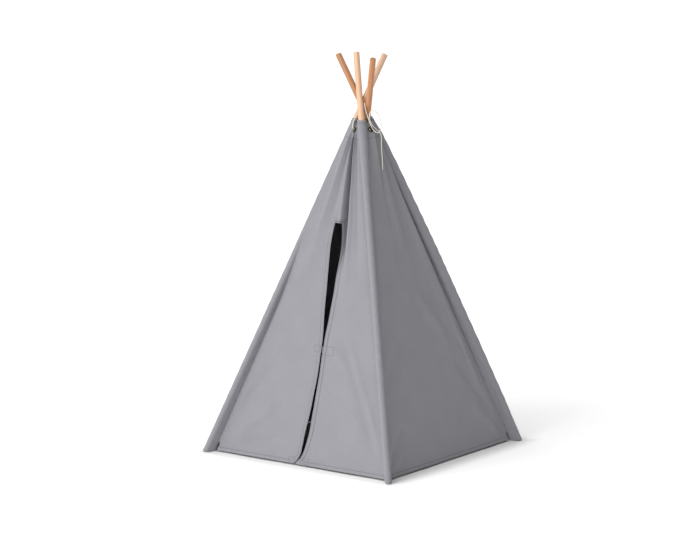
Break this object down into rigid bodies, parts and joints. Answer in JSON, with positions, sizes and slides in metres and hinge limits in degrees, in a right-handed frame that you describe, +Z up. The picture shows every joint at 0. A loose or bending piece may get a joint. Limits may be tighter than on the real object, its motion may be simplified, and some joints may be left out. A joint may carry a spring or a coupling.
{
  "type": "teepee tent",
  "caption": "Small tipi play tent: canvas cover on crossed wooden poles in corner pockets, with a slit door, top eyelets and a tie cord.",
  "frame": {"origin": "on the floor, at the middle of the square that the four pole feet stand on", "axes": "+Z up; the door side faces -Y; +X to the right of someone who looks at the door"},
  "size_m": [0.5843, 0.5842, 0.9995],
  "materials": {
    "canvas": "grey woven cotton canvas, matt",
    "binding": "turned canvas edge, matt",
    "pole_wood": "sanded, unvarnished dowel",
    "eyelet_metal": "dark bronzed, satin",
    "closure_tape": "hook and loop tape",
    "cotton_cord": "natural twisted cotton"
  },
  "bodies": {
    "canopy": {"pole_pocket_near": "canvas", "pole_pocket_right": "canvas", "pole_pocket_far": "canvas", "pole_pocket_left": "canvas", "cover_door": "canvas", "top_facing_door": "canvas", "eyelet_door": "eyelet_metal", "eyelet_washer_door": "eyelet_metal", "cover_right_side": "canvas", "top_facing_right_side": "canvas", "eyelet_right_side": "eyelet_metal", "eyelet_washer_right_side": "eyelet_metal", "cover_back": "canvas", "top_facing_back": "canvas", "eyelet_back": "eyelet_metal", "eyelet_washer_back": "eyelet_metal", "cover_left_side": "canvas", "top_facing_left_side": "canvas", "eyelet_left_side": "eyelet_metal", "eyelet_washer_left_side": "eyelet_metal", "tie_cord": "cotton_cord"},
    "near_pole": {"pole_near": "pole_wood"},
    "right_pole": {"pole_right": "pole_wood"},
    "far_pole": {"pole_far": "pole_wood"},
    "left_pole": {"pole_left": "pole_wood"},
    "right_flap": {"door_flap_right": "canvas", "slit_binding_right": "binding", "middle_loop_patch": "closure_tape", "lower_loop_patch": "closure_tape"},
    "left_flap": {"door_flap_left": "canvas", "slit_binding_left": "binding", "middle_closure_tab": "canvas", "middle_hook_patch": "closure_tape", "lower_closure_tab": "canvas", "lower_hook_patch": "closure_tape"}
  },
  "joints": [
    {"name": "near_pole_slide", "type": "slide", "parent": "canopy", "child": "near_pole", "axis": [-0.3007, 0.2889, 0.9089], "range_m": [0, 0.85]},
    {"name": "right_pole_slide", "type": "slide", "parent": "canopy", "child": "right_pole", "axis": [-0.3237, -0.2654, 0.9082], "range_m": [0, 0.85]},
    {"name": "far_pole_slide", "type": "slide", "parent": "canopy", "child": "far_pole", "axis": [0.3044, -0.2852, 0.9088], "range_m": [0, 0.85]},
    {"name": "left_pole_slide", "type": "slide", "parent": "canopy", "child": "left_pole", "axis": [0.2836, 0.306, 0.9088], "range_m": [0, 0.85]},
    {"name": "right_flap_fold", "type": "hinge", "parent": "canopy", "child": "right_flap", "pos_m": [0.2, -0.26751, 0.004], "axis": [-0.3148, 0.2733, 0.909], "range_deg": [0, 150]},
    {"name": "left_flap_fold", "type": "hinge", "parent": "canopy", "child": "left_flap", "pos_m": [-0.2, -0.26745, 0.004], "axis": [0.2861, 0.2764, 0.9175], "range_deg": [-75, 0]}
  ],
  "couplings": [
    {"joint": "left_flap_fold", "follows": "right_flap_fold", "ratio": -0.5}
  ]
}
